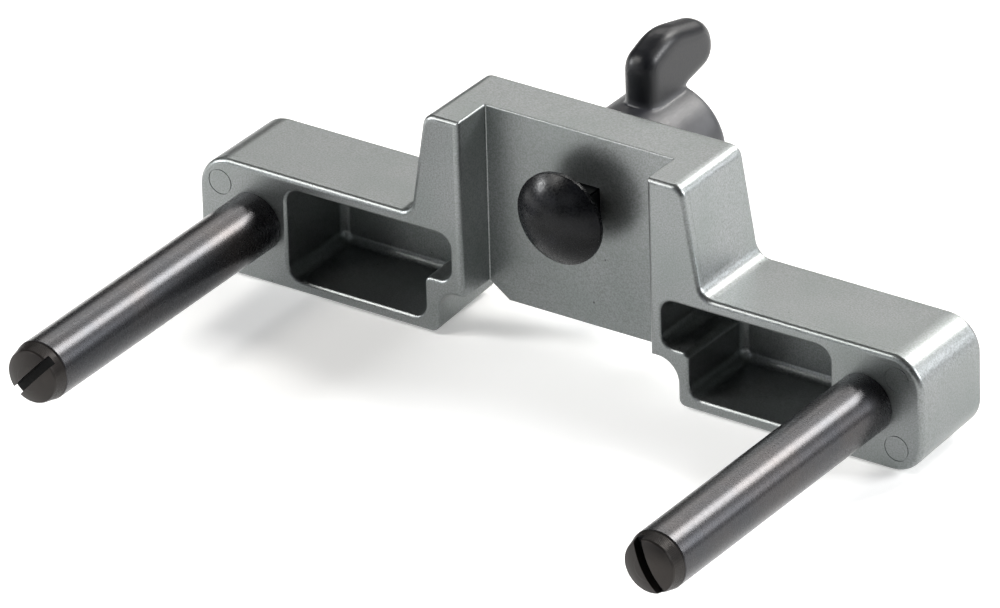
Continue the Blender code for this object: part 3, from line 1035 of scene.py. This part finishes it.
@dataclass
class GuideRod:
    """A ground rod with a screwdriver slot across its domed tip, screwed into an arm."""

    node: str
    slot_turn: float
    radius: float = 4.7625
    rim: float = 4.1
    dome: float = 0.85
    cone: float = 2.3
    edge: float = 0.16
    chamfer: float = 0.08
    marks: int = 9
    mark_depth: float = 0.03
    slot_half: float = 0.75
    slot_depth: float = 2.0
    slot_ease: float = 0.07
    stud: float = 3.9
    stud_end: float = 11.0
    stud_taper: Point = (0.8, 0.5)
    ridge: float = 0.38
    root: float = 0.35
    pitch: float = 1.27
    thread: Point = (0.8, 9.4)
    seat: float = 0.02

    def profile(self, tip: float) -> list[Point]:
        """The turned outline from the tip to the stud's end.

        Args:
            tip: Where the tip is along the rod.

        Returns:
            Points (y, radius).
        """
        points = []
        for index, (y, radius) in enumerate(cap_arc(self.rim, self.dome, 20)):
            groove = self.mark_depth if index % 2 and index > 9 else 0.0
            points.append((tip + y + groove, radius))
        foot = tip + self.dome
        shoulder = foot + self.cone
        points += [(foot + 0.12, self.rim + 0.1), (foot + 0.3, self.rim + 0.16)]
        first, last = (foot + 0.35, self.rim + 0.18), (shoulder - 0.1, self.radius - 0.12)
        for index in range(2 * self.marks + 1):
            share = index / (2 * self.marks)
            groove = self.mark_depth if index % 2 else 0.0
            points.append((first[0] + (last[0] - first[0]) * share,
                           first[1] + (last[1] - first[1]) * share - groove))
        core, eased = self.stud - self.root, self.radius - self.chamfer
        length, drop = self.stud_taper
        points += [(shoulder, eased), (shoulder + self.edge, self.radius),
                   (shoulder + 1.0, self.radius), (-self.seat - 0.1, self.radius),
                   (-self.seat, eased), (-self.seat, core), (self.stud_end - length, core),
                   (self.stud_end, core - drop), (self.stud_end, 0.0)]
        return points

    def build(self, oxide: Material, cut_steel: Material, dull_black_and_painted_shade: Material) -> None:
        """Makes the rod.

        Args:
            oxide: The finish of its length.
            cut_steel: The finish of its turned tip.
            dull_black_and_painted_shade: The darker black painted inside the slot as shade.
        """
        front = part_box("bracket_casting")[0].y
        tip = (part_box(self.node)[0].y - front) / MM
        name = self.node.replace("guide_rod", "slotted_rod")
        piece = to_object(name, turned(self.profile(tip)))
        slot = block((-self.slot_half, tip - 1.0, -self.radius - 1.0),
                     (self.slot_half, tip + self.slot_depth, self.radius + 1.0))
        carve(piece, Cut.REMOVE, [shifted(slot, turn=self.slot_turn)])
        modify(piece, "BEVEL", width=self.slot_ease, segments=2, limit_method="ANGLE",
               angle_limit=radians(50.0))
        settle(piece)
        coat(piece, oxide, cut_steel, dull_black_and_painted_shade)
        # Faces in the slot get the darkest black as painted shade in the slot; the dome and cone
        # get the turned finish.
        unturn = Matrix.Rotation(-self.slot_turn, 4, "Y")
        for face in piece.data.polygons:
            y = face.center.y
            within = abs((unturn @ face.center).x) < self.slot_half + 0.01
            cut = within and tip + self.dome + 0.1 < y < tip + self.slot_depth + 0.05
            face.material_index = 2 if cut else int(y < tip + self.dome + self.cone)
        start, length = self.thread
        sizes = {"Radius": self.stud - self.root, "Pitch": self.pitch, "Length": length,
                 "Ridge": self.ridge, "Start": start}
        joined(piece, thread_shape().run(bmesh.new(), sizes, oxide))
        complete(piece, Body.BRACKET, self.node, 24.0, front)


@dataclass
class CarriageBolt:
    """The bolt: a mushroom head, a square neck and a threaded shank."""

    head: float = 7.35
    dome: float = 3.0
    dome_share: float = 0.985
    rim: float = 0.7
    ease: float = 0.12
    neck_half: float = 3.175
    neck_end: float = 5.6
    neck_round: float = 0.25
    core: float = 2.75
    chamfer: float = 0.6
    ridge: float = 0.4
    pitch: float = 1.27

    def profile(self) -> list[Point]:
        """The head's turned outline, with y = 0 under the head."""
        crown = -self.rim - self.dome
        dome = cap_arc(self.head, self.dome, 16, self.dome_share)
        points = [(crown + y, radius) for y, radius in dome]
        points += [(-self.rim - 0.02, self.head - 0.03), (-self.rim + 0.1, self.head)]
        points += [(-self.ease, self.head), (0.0, self.head - self.ease), (0.0, 0.0)]
        return points

    def build(self, black: Material, dull_black_and_painted_shade: Material) -> None:
        """Makes the bolt with a satin head, and a darker matt neck and shank that are partly a
        duller finish and partly painted shade on the neck.
        """
        low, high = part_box("carriage_bolt")
        seat = low.y + (self.dome + self.rim) * MM
        end = (high.y - seat) / MM
        piece = to_object("black_bolt", turned(self.profile()))
        neck = block((-self.neck_half, -self.rim / 2, -self.neck_half),
                     (self.neck_half, self.neck_end, self.neck_half))
        bmesh.ops.bevel(neck, geom=neck.edges[:], offset=self.neck_round, segments=2,
                        affect="EDGES")
        shank = turned([(-0.2, 0.0), (-0.2, self.core), (end - self.chamfer, self.core),
                        (end, self.core - self.chamfer), (end, 0.0)], 64)
        carve(piece, Cut.ADD, [neck, shank])
        coat(piece, black, dull_black_and_painted_shade)
        # The neck and shank get the darker matt black: partly their duller finish, partly painted
        # shade on the neck.
        for face in piece.data.polygons:
            face.material_index = 1 if face.center.y > -0.001 else 0
        sizes = {"Radius": self.core, "Pitch": self.pitch, "Length": end - self.neck_end - 1.6,
                 "Ridge": self.ridge, "Start": self.neck_end + 0.6}
        joined(piece, thread_shape().run(bmesh.new(), sizes, dull_black_and_painted_shade))
        complete(piece, Body.BOLT, "carriage_bolt", 32.0, seat)


@dataclass
class FlatWasher:
    """The stamped washer between the web and the knob."""

    bore: float = 3.475
    eased: float = 0.25

    def build(self, zinc: Material) -> None:
        """Makes the washer in its finish."""
        low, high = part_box("flat_washer")
        thick = (high.y - low.y) / MM
        radius = (high.x - low.x) / MM / 2
        ease = self.eased
        profile = [(0.0, 0.0), (0.0, radius - 0.05), (0.05, radius), (thick - ease, radius)]
        profile += [(thick - ease / 3, radius - ease / 3), (thick, radius - ease), (thick, 0.0)]
        piece = to_object("zinc_washer", turned(profile))
        carve(piece, Cut.REMOVE, [pin(self.bore, -1.0, thick + 1.0, 96)])
        coat(piece, zinc)
        complete(piece, Body.WASHER, "flat_washer")


@dataclass
class WingKnob:
    """The moulded knob: a round hub with two swept wings that flow into it."""

    hub: float = 9.35
    length: float = 14.5
    overhang: float = 7.1
    wing_length: float = 10.15
    wing_front: float = 3.4
    thickness: float = 5.5
    front_round: float = 0.6
    back_round: float = 1.6
    wing_round: float = 2.4
    voxel: float = 0.24
    relax: int = 14
    socket: float = 5.05
    socket_end: float = 11.3
    passage: float = 3.475

    def wing(self) -> BMesh:
        """One wing: a plate in the (y, z) plane with the swept outline and soft edges."""
        front, back = self.wing_front, self.length + self.overhang
        tip = self.hub + self.wing_length
        outline = Outline((
            Corner(front, 0.0),
            Corner(self.length - 2.0, 0.0),
            Corner(self.length - 1.0, self.hub - 1.0, 2.0),
            Corner(back, self.hub + 0.6, 3.4),
            Corner(back, tip - 2.8, 4.5),
            Corner(front + 7.0, tip, 9.0),
            Corner(front, tip - 2.5, 3.4),
        ))
        half, soft = self.thickness / 2, self.wing_round
        rings = [(-half + soft * (1 - c), soft * (1 - s)) for c, s in quarter(6)]
        rings += [(-x, inset) for x, inset in reversed(rings)]
        return loft([[Vector((x, p.x, p.y)) for p in outline.ring(0.0, inset)]
                     for x, inset in rings])

    def build(self, nylon: Material) -> None:
        """Makes the knob in its finish."""
        soft, round_off = self.back_round, self.front_round
        profile = [(0.0, 0.0), (0.0, self.hub - round_off)]
        profile += arc((round_off, self.hub - round_off), round_off, 180.0, 90.0, 4)[1:]
        profile += arc((self.length - soft, self.hub - soft), soft, 90.0, 0.0, 8)
        profile.append((self.length, 0.0))
        piece = to_object("moulded_knob", turned(profile))
        carve(piece, Cut.ADD, [shifted(self.wing(), turn=turn) for turn in (0.0, pi)])
        modify(piece, "REMESH", mode="VOXEL", voxel_size=self.voxel)
        modify(piece, "SMOOTH", factor=0.5, iterations=self.relax)
        settle(piece)
        carve(piece, Cut.REMOVE, [pin(self.socket, -1.0, self.socket_end),
                                  pin(self.passage, -1.0, self.length + 1.0)])
        coat(piece, nylon)
        complete(piece, Body.KNOB, "wing_knob", 50.0)


@dataclass
class ThreadedInsert:
    """The knurled brass bush moulded into the knob."""

    radius: float = 4.5
    bore: float = 3.475
    ease: float = 0.3
    ridges: float = 36.0
    ridge: float = 0.22

    def build(self, brass: Material) -> None:
        """Makes the insert in its finish."""
        low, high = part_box("knob_insert")
        length, ease = (high.y - low.y) / MM, self.ease
        profile = [(0.0, 0.0), (0.0, self.radius - ease), (ease, self.radius),
                   (length - ease, self.radius), (length, self.radius - ease), (length, 0.0)]
        piece = to_object("knurled_insert", turned(profile))
        carve(piece, Cut.REMOVE, [pin(self.bore, -1.0, length + 1.0)])
        coat(piece, brass)
        sizes = {"Radius": self.radius, "Count": self.ridges, "Length": length - 2.0,
                 "Ridge": self.ridge, "Middle": length / 2}
        joined(piece, knurl_shape().run(bmesh.new(), sizes, brass))
        complete(piece, Body.KNOB, "knob_insert")


class SoftBox(NamedTuple):
    """A light that points at the object.

    bearing is in degrees from straight behind the object towards its right end, height in
    degrees above the floor, size in metres, power in watts, and colour is RRGGBB.
    """

    name: str
    bearing: float
    height: float
    size: Point
    power: float
    colour: str


SOFT_BOXES = (
    SoftBox("front_left_box", -132, 45, (0.35, 0.35), 4.4, WARM_WHITE),
    SoftBox("low_left_box", -118, 20, (0.2, 0.2), 6.5, "FDFEFF"),
    SoftBox("low_front_box", -150, 12, (0.5, 0.2), 0.5, COOL_WHITE),
    SoftBox("front_box", 180, 25, (0.5, 0.3), 0.5, COOL_WHITE),
    SoftBox("back_left_box", -40, 35, (0.4, 0.3), 1.2, WARM_WHITE),
    SoftBox("back_strip", 0, 25, (0.6, 0.15), 2.0, WARM_WHITE),
    SoftBox("back_high_strip", -12, 42, (0.5, 0.1), 1.3, WARM_WHITE),
    SoftBox("back_right_box", 20, 42, (0.3, 0.3), 6.4, WARM_WHITE),
    SoftBox("right_box", 60, 25, (0.4, 0.4), 9.5, "FCFDFF"),
)


@dataclass
class Studio:
    """The pale floor, the soft lights and the camera. The camera's lengths are in units."""

    azimuth: float = 34.81778
    elevation: float = 28.24771
    roll: float = -1.658594
    distance: float = 1558.6219
    aside: float = -6.979
    above: float = 8.185
    lens: float = 454.07
    unit: float = 9.525 / 8
    floor_size: float = 3.0
    floor_drop: float = 0.0004
    aim: float = 0.015
    reach: float = 1.0

    def floor(self) -> None:
        """Lays the floor just under the feet."""
        builder = bmesh.new()
        bmesh.ops.create_grid(builder, x_segments=4, y_segments=4, size=self.floor_size)
        sheet = to_object("studio_floor", builder)
        coat(sheet, StudioFloor("matt_white_paper", 0.9, 0.0).build())
        sheet.data.transform(Matrix.Translation((0.0, 0.0, -self.floor_drop)))

    def light(self, box: SoftBox) -> None:
        """Hangs one soft box."""
        data = bpy.data.lights.new(box.name, "AREA")
        data.shape = "RECTANGLE"
        data.size, data.size_y = box.size
        data.energy = box.power
        data.color = linear(box.colour)[:3]
        turn, rise = radians(box.bearing), radians(box.height)
        toward = Vector((sin(turn) * cos(rise), cos(turn) * cos(rise),
                         sin(rise)))
        lamp = linked(box.name, data)
        lamp.location = Vector((0.0, 0.0, self.aim)) + toward * self.reach
        lamp.rotation_euler = (-toward).to_track_quat("-Z", "Y").to_euler()

    def sky(self, colour: str, strength: float) -> None:
        """Fills the room with even light."""
        world = bpy.data.worlds.new("room")
        world.use_nodes = True
        background = world.node_tree.nodes["Background"]
        background.inputs["Color"].default_value = linear(colour)
        background.inputs["Strength"].default_value = strength
        bpy.context.scene.world = world

    def camera(self) -> None:
        """Sets the camera up where the product is seen from above its right end."""
        azimuth, elevation, roll = map(radians, (self.azimuth, self.elevation, self.roll))
        back = Vector((sin(azimuth) * cos(elevation),
                       -cos(azimuth) * cos(elevation), sin(elevation)))
        right = Vector((cos(azimuth), sin(azimuth), 0.0))
        up = back.cross(right)
        across = right * cos(roll) + up * sin(roll)
        upright = up * cos(roll) - right * sin(roll)
        spot = back * self.distance + across * self.aside + upright * self.above
        spot = spot * self.unit * MM
        spot += Vector((0.0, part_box("bracket_casting")[0].y, 0.0))
        data = bpy.data.cameras.new("product_camera")
        data.lens = self.lens
        data.sensor_width = 36.0
        data.clip_start, data.clip_end = 0.1, 10.0
        camera = linked("product_camera", data)
        turn = Matrix((across, upright, back)).transposed().to_4x4()
        camera.matrix_world = Matrix.Translation(spot) @ turn
        bpy.context.scene.camera = camera

    def build(self) -> None:
        """Sets up the whole studio."""
        bpy.context.scene.view_settings.view_transform = "Standard"
        self.floor()
        self.sky("F4F7FB", 0.02)
        for box in SOFT_BOXES:
            self.light(box)
        self.camera()


def main() -> None:
    """Builds every sub-assembly in order."""
    logging.basicConfig(level=logging.INFO, format="%(message)s")
    paint = SilverLacquer("silver_lacquered_zinc", 0.35, 0.9).build()
    oxide = BlackOxide("black_oxide_ground_steel", 0.27, 0.75).build()
    cut_steel = BlackOxide("black_oxide_turned_steel", 0.36, 0.75, shade="2A2827",
                           bloom_and_painted_sheen="3A3532", ring=0.3, ring_depth=0.03).build()
    black = ColdHeadedBlack("black_phosphate_cold_headed_steel", 0.26, 0.0, 0.17).build()
    # A darker, matt copy of the bolt's black: the duller neck and shank, and painted shade on the
    # neck and in the rods' slots.
    dull_black_and_painted_shade = ColdHeadedBlack("black_phosphate_drawn_steel_and_painted_shade", 0.5, 0.0, 0.1, shade="08090A",
                           wear_and_painted_sheen="101114").build()
    zinc = BareMetal("zinc_plated_steel", 0.32, 1.0).build()
    brass = BareMetal("turned_brass", 0.3, 1.0, shade="B08D4A", light="C9A865").build()
    nylon = MouldedNylon("moulded_black_nylon", 0.36, 0.0, 0.3).build()
    axes = [axis_of(node) for node in ("left_guide_rod", "right_guide_rod", "carriage_bolt")]
    *rods, (_, bolt_height) = [(x / MM, z / MM) for x, z in axes]
    BracketCasting().build(paint, bolt_height, rods)
    GuideRod("left_guide_rod", radians(43.0)).build(oxide, cut_steel, dull_black_and_painted_shade)
    GuideRod("right_guide_rod", radians(-28.0)).build(oxide, cut_steel, dull_black_and_painted_shade)
    CarriageBolt().build(black, dull_black_and_painted_shade)
    FlatWasher().build(zinc)
    ThreadedInsert().build(brass)
    WingKnob().build(nylon)
    Studio().build()


if __name__ == "__main__":
    main()
